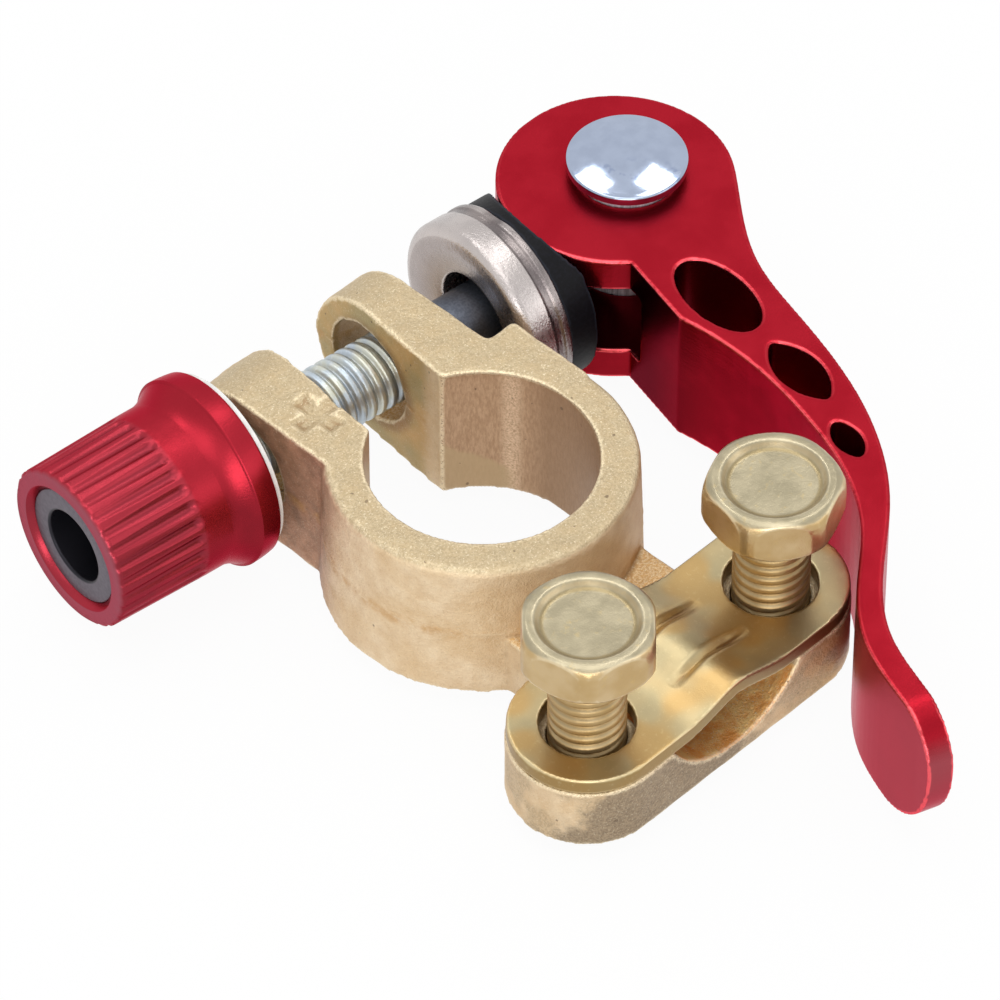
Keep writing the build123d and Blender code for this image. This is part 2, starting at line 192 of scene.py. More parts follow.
def patches(place, scale, detail=2.0, spread=0.5):
    return place.node("ShaderNodeTexNoise", {"Vector": place, "Scale": scale, "Detail": detail,
                                             "Roughness": spread})


def dented(height, depth, below=None):
    """A bump of the given depth in millimetres, over another one if that is given."""
    inputs = {"Height": height, "Distance": depth / 1000, "Strength": 1.0}
    if below:
        inputs["Normal"] = below
    return height.node("ShaderNodeBump", inputs)


class Finish:
    """A material with its place in millimetres and its marks from the mesh."""

    def __init__(self, name):
        self.material = bpy.data.materials.new(name)
        self.material.use_nodes = True
        self.tree = self.material.node_tree
        self.start = Strand(self.tree)
        where = self.start.node("ShaderNodeTexCoord").also("Object")
        self.place = where.node("ShaderNodeVectorMath", {0: where, "Scale": 1000.0},
                                operation="SCALE")
        self.x = self.place.node("ShaderNodeSeparateXYZ", (self.place,))
        self.y, self.z = self.x.also(1), self.x.also(2)

    def mark(self, name):
        return self.start.node("ShaderNodeAttribute", out="Fac", attribute_name=name)

    def stretched(self, x, y, z):
        return self.place.node("ShaderNodeVectorMath", (self.place, (x, y, z)),
                               operation="MULTIPLY")

    def done(self, **values):
        for name, value in values.items():
            socket = self.tree.nodes["Principled BSDF"].inputs[name.replace("_", " ")]
            if isinstance(value, Strand):
                self.tree.links.new(value.socket, socket)
            else:
                socket.default_value = value
        return self.material


def points_of(mesh, what="co"):
    values = np.empty(len(mesh.vertices) * 3, np.float32)
    mesh.vertices.foreach_get(what, values)
    return values.reshape(-1, 3).astype(float)


def put_points(mesh, points):
    mesh.vertices.foreach_set("co", points.astype(np.float32).ravel())
    mesh.update()


def plain(piece):
    """The piece with its modifiers worked into its mesh."""
    mesh = bpy.data.meshes.new_from_object(
        piece.evaluated_get(bpy.context.evaluated_depsgraph_get()))
    piece.modifiers.clear()
    piece.data = mesh
    return mesh


def solid_copy(name, node, voxel, relax, worked=None):
    """A CAD solid copied in millimetres, merged, remeshed, worked and rubbed smooth."""
    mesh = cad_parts[node].data.copy()
    mesh.materials.clear()
    mesh.transform(Matrix.Scale(1000, 4))
    shape = bmesh.new()
    shape.from_mesh(mesh)
    bmesh.ops.remove_doubles(shape, verts=shape.verts, dist=0.001)
    shape.to_mesh(mesh)
    shape.free()
    piece = bpy.data.objects.new(name, mesh)
    bpy.context.scene.collection.objects.link(piece)
    skin = piece.modifiers.new("skin", "REMESH")
    skin.mode = "VOXEL"
    skin.voxel_size = voxel
    mesh = plain(piece)
    if worked:
        put_points(mesh, worked(points_of(mesh)))
    rub = piece.modifiers.new("rub", "SMOOTH")
    rub.iterations = relax
    rub.factor = 0.5
    plain(piece)
    return piece


def finished(piece, material, body, stands_for=None, rounds=4, reach=0.05, keep=1.0):
    """Marks edges and top faces on the mesh, turns it to metres, and joins it to its body."""
    mesh = piece.data
    points, normals = points_of(mesh), points_of(mesh, "normal")
    pairs = np.empty(len(mesh.edges) * 2, np.int32)
    mesh.edges.foreach_get("vertices", pairs)
    a, b = pairs.reshape(-1, 2).T
    count = np.maximum(np.bincount(a, minlength=len(points))
                       + np.bincount(b, minlength=len(points)), 1)[:, None]
    soft = points.copy()
    for _ in range(rounds):
        soft = np.stack([np.bincount(a, soft[b, i], len(points))
                         + np.bincount(b, soft[a, i], len(points))
                         for i in range(3)], 1) / count
    # Convex points score high and hollows low; the finishes use this for wear and painted
    # highlight on edges and for painted shade in hollows.
    wear_highlight_and_shade = ((points - soft) * normals).sum(1) / reach
    for name, values in (("wear_highlight_and_shade", wear_highlight_and_shade), ("up", normals[:, 2]),
                         ("left", -(normals[:, 0] + normals[:, 1]) * 0.7071)):
        mark = mesh.attributes.new(name, "FLOAT", "POINT")
        mark.data.foreach_set("value", values.astype(np.float32))
    if keep < 1:
        thin = piece.modifiers.new("thin", "DECIMATE")
        thin.ratio = keep
        mesh = plain(piece)
    mesh.transform(Matrix.Scale(0.001, 4))
    mesh.polygons.foreach_set("use_smooth", [True] * len(mesh.polygons))
    mesh.materials.clear()
    mesh.materials.append(material)
    mesh.update()
    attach(piece, body)
    if stands_for:
        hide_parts(stands_for)
    return piece


body_height = 12.9
bore_radius = 9.0
plus_centre = (-5.5, 12.2)
plus_reach, plus_width, plus_depth, plus_slope = 2.05, 0.62, 0.32, 0.26
parting_height, parting_width, parting_rise = 6.3, 0.16, 0.07
casting = solid_copy("casting", "clamp_body", 0.2, 4)
points = points_of(casting.data)
normals = points_of(casting.data, "normal")
lumps = np.array([noise.noise(p * 0.45) * 0.10 + noise.noise(p * 1.7) * 0.035
                  for p in map(Vector, points)])
off_axis = np.hypot(points[:, 0], points[:, 1])
lumps[(off_axis < bore_radius + 0.4) & (points[:, 1] < 8.6)] *= 0.15
lumps[(off_axis > 10.8) & (points[:, 1] < 2)] *= 0.5
seam = np.exp(-((points[:, 2] - parting_height - lumps * 2) / parting_width) ** 2)
seam *= (np.abs(normals[:, 2]) < 0.5) * (off_axis > 10.5)
ragged = np.array([noise.noise(Vector((p[0] * 0.9, p[1] * 0.9, 7.0))) for p in points])
seam *= np.clip(0.5 + 1.6 * ragged, 0, 1)
points += normals * (lumps - 0.02 + parting_rise * seam)[:, None]
across = np.abs(points[:, 0] - plus_centre[0])
along = np.abs(points[:, 1] - plus_centre[1])
into_arm = np.minimum(np.maximum(across - plus_width, along - plus_reach),
                      np.maximum(along - plus_width, across - plus_reach))
into_arm = np.where(np.maximum(across, along) < plus_reach + 1,
                    np.clip(-into_arm / plus_slope, -1, 1), -1) / 2 + 0.5
points[:, 2] -= plus_depth * into_arm * (points[:, 2] > body_height - 0.5)
put_points(casting.data, points)

brass = Finish("cast_brass")
up = brass.mark("up").rise(0.35, 0.8)
wear_highlight_and_shade = brass.mark("wear_highlight_and_shade")
cloud = patches(brass.place, 0.16, 3.0)
mottle = patches(brass.place, 0.7, 4.0, 0.6)
grain = patches(brass.place, 5.0, 3.0, 0.7)
painted_glint = patches(brass.place, 7.5, 1.0).rise(0.62, 0.72)
pits = patches(brass.place, 1.9, 0.0).rise(0.845, 0.86)

# Grainy yellow tops and smoother, rosier sides, golden towards the lever; the sides are painted
# lighter than the tops as painted light, to set how the light falls on each.
top = tint(grain.rise(0.3, 0.7), colour(180, 160, 126), colour(206, 188, 154))
top = tint(mottle.rise(0.35, 0.75) * 0.4, top, colour(200, 174, 132))
side = tint(mottle.rise(0.2, 0.8), colour(220, 192, 154), colour(240, 218, 184))
side = tint(cloud.rise(0.42, 0.62) * 0.35, side, colour(212, 176, 124))
side = tint(brass.x.rise(2.0, 11.0) * (brass.y < 4.0) * 0.8, side, colour(206, 160, 96))
side = tint(grain.rise(0.5, 0.8) * 0.3, side, colour(170, 132, 92))
skin = tint(up, side, top)

# The pad is coarser, with a grey stain across its front.
pad = brass.y.rise(-12.5, -16.5)
pad_skin = tint(grain.rise(0.35, 0.65), colour(150, 128, 98), colour(206, 182, 146))
skin = tint(pad * (0.55 - 0.3 * up) * patches(brass.place, 0.3, 2.0).rise(0.42, 0.56), skin,
            pad_skin)
stain = (brass.x + mottle * 3.0 - brass.z * 0.38).rise(-14.9, -13.7) \
    * (brass.x + mottle * 4.0).rise(4.4, 2.0)
skin = tint(stain * (brass.y < -20.0) * (1 - up) * 0.9, skin,
            tint(grain.rise(0.35, 0.65), colour(128, 110, 88), colour(162, 142, 116)))

# The bore is machined in streaks, painted darker towards one side as painted shade, with a
# painted highlight in a band of shine, and stays as cast at one lower side.
off_axis = brass.x.sum_of("SQRT", brass.x * brass.x + brass.y * brass.y)
in_bore = (1 - off_axis.rise(bore_radius + 0.1, bore_radius + 0.35)) * (1 - up) \
    * (brass.y < 9.5)
streaks = patches(brass.stretched(5.0, 5.0, 1.4), 1.0, 4.0, 0.7)
bored = tint(streaks.rise(0.3, 0.7), colour(176, 140, 106), colour(204, 168, 134))
bearing = brass.x.sum_of("ARCTAN2", brass.y, brass.x) * (180 / math.pi)
bored = tint(bearing.rise(26.0, 8.0) * 0.6, bored, colour(150, 116, 84))
shine = 1 - bearing.sum_of("ABSOLUTE", bearing - 30.0).rise(1.0, 7.5)
bored = tint(shine * patches(brass.place, 6.0, 3.0).rise(0.25, 0.7) * 0.8,
             bored, colour(244, 214, 180))
as_cast = (brass.z + (66 - bearing) * 0.085 + mottle * 1.2).rise(6.2, 5.6) \
    * bearing.rise(26.0, 34.0)
bored = tint(as_cast * 0.8, bored, colour(196, 168, 128))
skin = tint(in_bore, skin, bored)

# The split's faces, painted shade round the ears' holes, a painted reflection and painted shade
# on the ear beside the nut, the neck and the cable channel.
in_slot = brass.y.rise(9.0, 11.0) * (1 - brass.x.sum_of("ABSOLUTE", brass.x).rise(5.6, 6.2))
slot_skin = tint(cloud.rise(0.35, 0.65), colour(178, 160, 114), colour(212, 172, 112))
skin = tint(in_slot * (1 - up), skin, slot_skin)
beside, above = brass.y - ear_middle + brass.x * math.tan(tilt), brass.z - mid_height
from_stud = beside.sum_of("SQRT", beside * beside + above * above)
# Painted shade in and round the ears' holes for the stud.
skin = tint(from_stud.rise(5.6, 4.4) * (brass.y > 9.0) * 0.65, skin, colour(138, 98, 56))
# A painted reflection of the red nut, with painted shade, on the ear's outer wall beside it.
painted_nut_reflection = (1 - up) * brass.x.rise(-5.8, -8.6) * brass.y.rise(3.0, 9.0)
skin = tint(painted_nut_reflection * 0.75, skin, tint(mottle.rise(0.35, 0.65), colour(132, 80, 62),
                                          colour(172, 116, 92)))
neck_top = up * (brass.z < 8.0) * brass.y.rise(-16.0, -14.8)
skin = tint(neck_top * 0.75, skin, tint(grain.rise(0.4, 0.65), colour(222, 172, 104),
                                       colour(252, 228, 184)))
in_channel = brass.y.rise(-15.0, -15.4) * (brass.z < 5.0) * up.rise(0.0, 0.2) \
    * (1 - brass.x.sum_of("ABSOLUTE", brass.x).rise(6.2, 6.6))
skin = tint(in_channel, skin, tint(mottle.rise(0.3, 0.7), colour(240, 166, 84),
                                   colour(255, 222, 150)))

# Painted shade in the hollows, painted glints for the sparkle, bright rubbed edges that are
# partly wear and partly painted highlight, the parting line and small pits.
skin = tint(wear_highlight_and_shade.rise(-0.4, -1.6) * 0.5, skin, colour(146, 108, 66))
skin = tint(painted_glint * (0.3 + 0.35 * up) * (1 - in_bore), skin, colour(244, 232, 204))
skin = tint(wear_highlight_and_shade.rise(0.4, 1.4) * grain.rise(0.25, 0.6) * 0.75, skin, colour(250, 232, 196))
below_seam = brass.z.rise(5.2, 6.0) * brass.z.rise(6.9, 6.3) * (1 - up) \
    * off_axis.rise(10.5, 11)
skin = tint(below_seam * patches(brass.place, 0.6, 4.0, 0.65).rise(0.4, 0.66) * 0.6, skin,
            colour(198, 150, 88))
skin = tint(pits * 0.6, skin, colour(92, 70, 50))
rough = 0.44 - wear_highlight_and_shade.rise(0.4, 1.4) * 0.12 + grain * 0.12 - in_bore * 0.1
rough = rough - brass.x.rise(8.0, 13.0) * pad * 0.2
cast_brass = brass.done(
    Base_Color=skin, Roughness=rough, Metallic=0.62,
    Normal=dented(streaks * in_bore, 0.05,
                  dented(grain * (1 - in_bore), 0.09, dented(mottle * (1 - in_bore), 0.12))))
finished(casting, cast_brass, "clamp", "clamp_body", reach=0.045, keep=0.5)

# ---- Cable strap ---------------------------------------------------------------------
# A pressed steel plate with an arch over the cable and two grip grooves, yellow zinc plated.
strap_grooves = ((-18.7, -3.0, 4.6), (-23.2, -3.4, 5.2))
groove_depth, groove_width, groove_fade = 0.45, 0.62, 2.2
clear_line = -15.9


def pressed(points):
    """Presses two grooves into the arch, in line with its crest where no groove runs."""
    on_top = points[:, 2] > 7.0
    clear = on_top & (np.abs(points[:, 1] - clear_line) < 0.35)
    order = np.argsort(points[clear, 0])
    crest = np.interp(points[:, 0], points[clear, 0][order], points[clear, 2][order])
    for at, start, end in strap_grooves:
        near = on_top & (np.abs(points[:, 1] - at) < 1.0) & (points[:, 2] > crest - 0.62)
        off_line = np.abs(points[:, 1] - at - points[:, 0] * 0.03)
        beside = np.clip(1 - off_line / groove_width, 0, 1)
        fade = np.clip(np.minimum(points[:, 0] - start, end - points[:, 0]) / groove_fade, 0, 1)
        wanted = crest - groove_depth * beside * fade ** 0.7
        points[near, 2] = np.where(fade[near] + beside[near] > 0, wanted[near], points[near, 2])
    return points


strap = solid_copy("strap_plate", "cable_strap", 0.16, 5, pressed)
zinc = Finish("yellow_zinc")
wear_highlight_and_shade = zinc.mark("wear_highlight_and_shade")
film = patches(zinc.place, 0.3, 2.0)
fleck = patches(zinc.place, 2.4, 3.0, 0.65)
fine = patches(zinc.place, 9.0, 2.0)
plate = tint(film.rise(0.35, 0.65), colour(172, 158, 122), colour(183, 165, 125))
plate = tint(patches(zinc.place, 0.25, 1.0).rise(0.38, 0.6) * 0.6, plate, colour(190, 150, 86))
# Painted shade where the plate turns away from facing up, as on the arch's slopes and the
# grooves' walls; painted shade in hollows; edges brightened as wear and painted highlight.
plate = tint(zinc.mark("up").rise(0.6, 0.2) * 0.75, plate, colour(150, 120, 70))
plate = tint(fleck.rise(0.55, 0.75) * 0.2, plate, colour(224, 208, 166))
plate = tint(wear_highlight_and_shade.rise(-0.4, -1.4) * 0.7, plate, colour(112, 78, 46))
plate = tint(wear_highlight_and_shade.rise(0.5, 1.4) * 0.5, plate, colour(240, 222, 176))
yellow_zinc = zinc.done(Base_Color=plate, Roughness=0.3 + fleck * 0.08, Metallic=0.9,
                        Normal=dented(fine, 0.010, dented(film, 0.05)))
finished(strap, yellow_zinc, "strap", "cable_strap", reach=0.04)

# ---- Strap bolts ---------------------------------------------------------------------
# Two M6 hexagon bolts with dished heads, forged, rolled and plated, which press the strap
# down on the cable. The rolled thread runs right up under the head.
bolt_spacing, pad_reach = 20.1, 20.95
bolt_radius, bolt_length = 3.0, 12.0
thread_depth = 0.3
bolt_zinc = Finish("bolt_zinc")
wear_highlight_and_shade = bolt_zinc.mark("wear_highlight_and_shade")
root = bolt_zinc.mark("root")
film = patches(bolt_zinc.place, 0.45, 2.0)
fleck = patches(bolt_zinc.place, 1.6, 3.0, 0.6)
fine = patches(bolt_zinc.place, 8.0, 2.0)
up = bolt_zinc.mark("up")
head_skin = tint(film.rise(0.35, 0.65), colour(162, 152, 126), colour(180, 169, 141))
# The head's sides take a lighter, more golden copy of the plating than its top, as painted
# light; painted shade falls on undersides, hollows and thread roots, and edges are brightened
# as wear and painted highlight.
lit_head_side = tint(film.rise(0.3, 0.7), colour(190, 160, 110), colour(204, 178, 134))
head_skin = tint(up.rise(0.85, 0.5), head_skin, lit_head_side)
head_skin = tint(fleck.rise(0.58, 0.75) * 0.25, head_skin, colour(216, 184, 112))
head_skin = tint(up.rise(0.0, -0.6) * 0.5, head_skin, colour(168, 128, 72))
head_skin = tint(wear_highlight_and_shade.rise(-0.3, -1.0) * 0.6, head_skin, colour(140, 118, 70))
head_skin = tint(wear_highlight_and_shade.rise(0.4, 1.2) * 0.5, head_skin, colour(244, 230, 196))
head_skin = tint((bolt_zinc.z < head_bottom - 0.15) * 0.3, head_skin, colour(156, 130, 82))
head_skin = tint(root.rise(0.0, 0.9) * 0.45, head_skin, colour(140, 110, 64))
head_zinc = bolt_zinc.done(Base_Color=head_skin, Metallic=0.88,
                           Roughness=0.28 + fleck * 0.1
                           + (bolt_zinc.z < head_bottom - 0.05) * 0.12,
                           Normal=dented(fine, 0.012, dented(fleck, 0.03)))

# The thread: a grid wound into a rod, with a helix pressed into its side.
thread_tree = bpy.data.node_groups.new("rolled_thread", "GeometryNodeTree")
thread_tree.is_modifier = True
for name, kind in (("Radius", "Float"), ("Depth", "Float"), ("Pitch", "Float"),
                   ("Length", "Float"), ("Lead", "Float"), ("Around", "Int"), ("Rows", "Int"),
                   ("Finish", "Material")):
    thread_tree.interface.new_socket(name, in_out="INPUT", socket_type="NodeSocket" + kind)
thread_tree.interface.new_socket("Rod", in_out="OUTPUT", socket_type="NodeSocketGeometry")
given = Strand(thread_tree).node("NodeGroupInput")
radius, depth, pitch, length, lead, around, rows, skin = (given.also(i) for i in range(8))
sheet = given.node("GeometryNodeMeshGrid", {"Size X": 1.0, "Size Y": rows - 1,
                                            "Vertices X": around + 1, "Vertices Y": rows})
place = given.node("GeometryNodeInputPosition")
turn = place.node("ShaderNodeSeparateXYZ", (place,))
row = turn.also(1) + (rows - 1) * 0.5
turn = turn + 0.5
up_rod = ((row - 1) * length / (rows - 3))
up_rod = up_rod.sum_of("MAXIMUM", up_rod.sum_of("MINIMUM", up_rod, length), 0.0)
wave = up_rod.sum_of("FRACT", up_rod / pitch - turn)
wave = wave.sum_of("ABSOLUTE", wave * 2 - 1)
in_root = wave.node("ShaderNodeMapRange", (wave, 0.4, 0.96, 0.0, 1.0))
from_end = up_rod.sum_of("MINIMUM", up_rod, length - up_rod)
reach = radius.sum_of("MINIMUM", radius - depth * in_root, radius - lead + from_end)
reach = reach * (row > 0.5) * (row < rows - 1.5)
angle = turn * math.tau
wound = given.node("ShaderNodeCombineXYZ", (reach * angle.sum_of("COSINE", angle),
                                            reach * angle.sum_of("SINE", angle), up_rod))
rod = given.node("GeometryNodeStoreNamedAttribute",
                 {"Geometry": sheet, "Name": "root", "Value": in_root},
                 data_type="FLOAT", domain="POINT")
rod = given.node("GeometryNodeSetPosition", {"Geometry": rod, "Position": wound})
rod = given.node("GeometryNodeMergeByDistance", {"Geometry": rod, "Distance": 0.002})
rod = given.node("GeometryNodeRealizeInstances", {"Geometry": rod})
rod = given.node("GeometryNodeSetMaterial", {"Geometry": rod, "Material": skin})
thread_tree.links.new(rod.socket, thread_tree.nodes.new("NodeGroupOutput").inputs[0])


def made_by(tree, name, mesh, **sizes):
    """A plain mesh from a node tree, its inputs set by the sockets' identifiers."""
    piece = bpy.data.objects.new(name, mesh)
    bpy.context.scene.collection.objects.link(piece)
    maker = piece.modifiers.new("maker", "NODES")
    maker.node_group = tree
    for item in tree.interface.items_tree:
        if item.in_out == "INPUT" and item.name in sizes:
            maker[item.identifier] = sizes[item.name]
    plain(piece)
    return piece


def all_outward(mesh):
    shape = bmesh.new()
    shape.from_mesh(mesh)
    bmesh.ops.recalc_face_normals(shape, faces=shape.faces)
    shape.to_mesh(mesh)
    shape.free()


def threaded_rod(name, start, along, radius, length, skin):
    """An M6 thread from start, in the direction along."""
    piece = made_by(thread_tree, name, bpy.data.meshes.new(name), Radius=radius,
                    Depth=thread_depth, Pitch=1.0, Length=length, Lead=0.5, Around=48,
                    Rows=int(length * 11) + 3, Finish=skin)
    aimed = along.to_track_quat("Z", "Y").to_matrix().to_4x4()
    piece.data.transform(Matrix.Translation(start) @ aimed)
    all_outward(piece.data)
    return piece


for side, name in ((-1, "left"), (1, "right")):
    foot = Vector((side * bolt_spacing / 2, -pad_reach, head_bottom - bolt_length))

    def forged(points):
        """Rounds the head's corners over and draws the shank in under the rolled thread."""
        middle = np.array((side * bolt_spacing / 2, -pad_reach))
        out = points[:, :2] - middle
        far = np.maximum(np.hypot(*out.T), 1e-6)
        most = np.interp(head_top - points[:, 2], (0.0, 0.3, 0.8, 1.5, 3.2, 4.0),
                         (4.78, 5.1, 5.34, 5.45, 5.45, 5.1))
        new = np.where(far > most, most + (far - most) * 0.22, far)
        core = points[:, 2] < head_bottom - 0.12
        new[core] = far[core] * 0.72
        points[:, :2] = middle + out * (new / far)[:, None]
        points[core, 2] = np.maximum(points[core, 2], head_bottom - bolt_length + 0.6)
        return points

    head = solid_copy("bolt_head_" + name, "strap_bolt_" + name, 0.14, 5, forged)
    finished(head, head_zinc, name + "_bolt", "strap_bolt_" + name, reach=0.03)
    thread = threaded_rod("bolt_thread_" + name, foot, Vector((0, 0, 1)), bolt_radius,
                          bolt_length, head_zinc)
    finished(thread, head_zinc, name + "_bolt", rounds=0)

# ---- Stud ----------------------------------------------------------------------------
# The loose stud through both ears: a rolled M6 thread for the nut, a thinner plain shank
# through the cup and saddle, and a short thread in the cross hole of the pin. Zinc plated.
stud_radius, shank_radius = 3.0, 2.7
stud_start, thread_end, shank_end, stud_end = -19.34, 7.0, 26.2, 34.2


def turned(name, outline, segments=96):
    """A ring or rod turned on the stud's line: outline is (along, radius, corner) all round."""
    rounded = []
    for i, (at, high, corner) in enumerate(outline):
        here = Vector((at, high))
        before = Vector(outline[i - 1][:2]) - here
        after = Vector(outline[(i + 1) % len(outline)][:2]) - here
        if corner:
            first = here + before.normalized() * corner
            last = here + after.normalized() * corner
            rounded += [first * (1 - u) ** 2 + here * 2 * u * (1 - u) + last * u * u
                        for u in (0, 0.25, 0.5, 0.75, 1)]
        else:
            rounded.append(here)
    circle = [(math.cos(a), math.sin(a)) for a in np.linspace(0, math.tau, segments, False)]
    points, rings = [], []
    for at, high in rounded:
        many = high > 1e-4
        rings.append([len(points) + (i if many else 0) for i in range(segments)])
        points += [(high * c, high * s, at) for c, s in (circle if many else circle[:1])]
    faces = []
    for i, ring in enumerate(rings):
        other = rings[(i + 1) % len(rings)]
        for k in range(segments):
            m = (k + 1) % segments
            corners = list(dict.fromkeys((ring[k], ring[m], other[m], other[k])))
            if len(corners) > 2:
                faces.append(corners)
    mesh = bpy.data.meshes.new(name)
    mesh.from_pydata(points, [], faces)
    all_outward(mesh)
    return mesh


def on_stud(mesh):
    """Takes a mesh made along +Z to the stud's line."""
    place = Matrix((stud_side, Vector((0, 0, 1)), stud_along)).transposed().to_4x4()
    mesh.transform(Matrix.Translation(stud_middle) @ place)
    if place.determinant() < 0:
        mesh.flip_normals()


def placed(name, mesh):
    piece = bpy.data.objects.new(name, mesh)
    bpy.context.scene.collection.objects.link(piece)
    return piece


bright = Finish("bright_zinc")
root = bright.mark("root")
film = patches(bright.place, 0.5, 2.0)
fleck = patches(bright.place, 2.2, 3.0, 0.6)
stud_skin = tint(film.rise(0.35, 0.65), colour(186, 198, 208), colour(208, 210, 196))
stud_skin = tint(fleck.rise(0.5, 0.75) * 0.4, stud_skin, colour(236, 240, 248))
# Painted shade in the thread's roots.
stud_skin = tint(root.rise(0.1, 1.0) * 0.4, stud_skin, colour(116, 119, 124))
bright_zinc = bright.done(Base_Color=stud_skin, Roughness=0.34 + fleck * 0.1, Metallic=0.85,
                          Normal=dented(patches(bright.place, 8.0, 2.0), 0.01,
                                        dented(fleck, 0.03)))
stud_thread = threaded_rod("stud_thread", stud_middle + stud_along * stud_start, stud_along,
                           stud_radius, thread_end - stud_start, bright_zinc)
finished(stud_thread, bright_zinc, "stud", "clamp_stud", rounds=0)

dark = Finish("shank_plating")
streak = patches(dark.place, 5.0, 2.0)
shank_skin = tint(streak.rise(0.3, 0.7), colour(92, 97, 108), colour(108, 114, 126))
shank_plating = dark.done(Base_Color=shank_skin, Roughness=0.34, Metallic=0.85,
                          Normal=dented(streak, 0.005))
shank = turned("stud_shank", [
    (thread_end - 1.0, 0, 0), (thread_end - 1.0, shank_radius - 0.3, 0),
    (thread_end, shank_radius - 0.3, 0), (thread_end + 0.2, shank_radius, 0.1),
    (shank_end, shank_radius, 0.1), (shank_end + 0.3, stud_radius - 0.02, 0.1),
    (stud_end - 0.3, stud_radius - 0.02, 0.1), (stud_end, stud_radius - 0.3, 0.1),
    (stud_end, 0, 0)], 64)
on_stud(shank)
shank = placed("stud_shank", shank)
finished(shank, shank_plating, "stud", rounds=0)

# ---- Adjusting nut -------------------------------------------------------------------
# Turned from aluminium with a flange at the washer, 30 milled grip flutes that run out
# before the flange, and a bore for the steel insert; anodised red.
ear_left, washer_gap = 8.9, 0.15
washer_face = (ear_left + washer_gap) / math.cos(tilt) + mid_height * math.tan(tilt)
flange_face = washer_face + 0.5
nut_length = 14.6
nut_end = flange_face + nut_length
nut_radius, nut_end_radius = 7.0, 6.8
flute_length = 8.1
flange_radius = 8.05
insert_radius, insert_length, insert_recess = 4.95, 9.5, 0.5
nut_bore_radius = 3.3

flute_tree = bpy.data.node_groups.new("grip_flutes", "GeometryNodeTree")
flute_tree.is_modifier = True
flute_tree.interface.new_socket("Blank", in_out="INPUT", socket_type="NodeSocketGeometry")
for name, kind in (("Count", "Int"), ("Cutter", "Float"), ("Depth", "Float"),
                   ("Radius", "Float"), ("Start", "Float"), ("End", "Float"),
                   ("Run out", "Float"), ("Finish", "Material")):
    flute_tree.interface.new_socket(name, in_out="INPUT", socket_type="NodeSocket" + kind)
flute_tree.interface.new_socket("Nut", in_out="OUTPUT", socket_type="NodeSocketGeometry")
given = Strand(flute_tree).node("NodeGroupInput")
blank, count, cutter, depth, radius, start, end, run_out, skin = (
    given.also(i) for i in range(9))
place = given.node("GeometryNodeInputPosition")
x = place.node("ShaderNodeSeparateXYZ", (place,))
y, along = x.also(1), x.also(2)
off_axis = x.sum_of("SQRT", x * x + y * y)
share = x.sum_of("ARCTAN2", y, x) * count / math.tau + 0.5
angle = (share.sum_of("FRACT", share) - 0.5) * math.tau / count
to_end = (end - along) / run_out
to_end = 1 - to_end.sum_of("MINIMUM", to_end.sum_of("MAXIMUM", to_end, 0.0), 1.0)
cut_depth = depth * to_end.sum_of("SQRT", 1 - to_end * to_end)
centre = radius + cutter - cut_depth
beside = centre * angle.sum_of("SINE", angle)
room = cutter * cutter - beside * beside
cut = centre * angle.sum_of("COSINE", angle) \
    - room.sum_of("SQRT", room.sum_of("MAXIMUM", room, 0.0))
cut = cut.sum_of("MINIMUM", cut, off_axis)
wanted = (room > 0) * (along > start - 0.01) * (along < end) * (off_axis > radius - 0.6)
shrink = 1 + (cut / off_axis - 1) * wanted
moved = given.node("ShaderNodeCombineXYZ", (x * shrink, y * shrink, along))
groove = (1 - cut / off_axis) * wanted * radius / depth
fluted = given.node("GeometryNodeStoreNamedAttribute",
                    {"Geometry": blank, "Name": "groove", "Value": groove},
                    data_type="FLOAT", domain="POINT")
fluted = given.node("GeometryNodeSetPosition", {"Geometry": fluted, "Position": moved})
fluted = given.node("GeometryNodeRealizeInstances", {"Geometry": fluted})
fluted = given.node("GeometryNodeSetMaterial", {"Geometry": fluted, "Material": skin})
flute_tree.links.new(fluted.socket, flute_tree.nodes.new("NodeGroupOutput").inputs[0])

red = Finish("red_anodising")
wear_highlight_and_shade = red.mark("wear_highlight_and_shade")
up = red.mark("up").rise(0.25, 0.75)
cloud = patches(red.place, 0.25, 3.0)
brushed = patches(red.stretched(0.5, 0.5, 6.0), 1.0, 3.0)
fine = patches(red.place, 7.0, 3.0, 0.6)
dye = tint(cloud.rise(0.35, 0.65), colour(156, 23, 37), colour(165, 28, 42))
# Painted shade: the walls take a darker copy of the dye than the tops.
wall = tint(cloud.rise(0.3, 0.7), colour(128, 14, 26), colour(150, 20, 34))
dye = tint(up, wall, dye)
dye = tint(fine.rise(0.6, 0.8) * 0.2, dye, colour(196, 52, 64))
# Painted shade in the nut's flutes and in hollows.
dye = tint(red.mark("groove").rise(0.1, 1.0) * 0.6, dye, colour(104, 10, 22))
dye = tint(wear_highlight_and_shade.rise(-0.4, -1.3) * 0.7, dye, colour(54, 6, 12))
faced = red.mark("faced")
dye = tint(faced, dye, colour(158, 84, 96))

# Painted shade darkens the slot between the cheeks.
slot_half, slot_reach = 3.44, 9.7
from_pin = (red.x - pin_x) * math.sin(tilt) + (red.y - pin_y) * math.cos(tilt)
in_cheeks = (red.z.sum_of("ABSOLUTE", red.z - mid_height) < slot_half) \
    * (from_pin > -slot_reach) * (red.x > 18.0)
dye = tint(in_cheeks * 0.6, dye, colour(36, 5, 10))

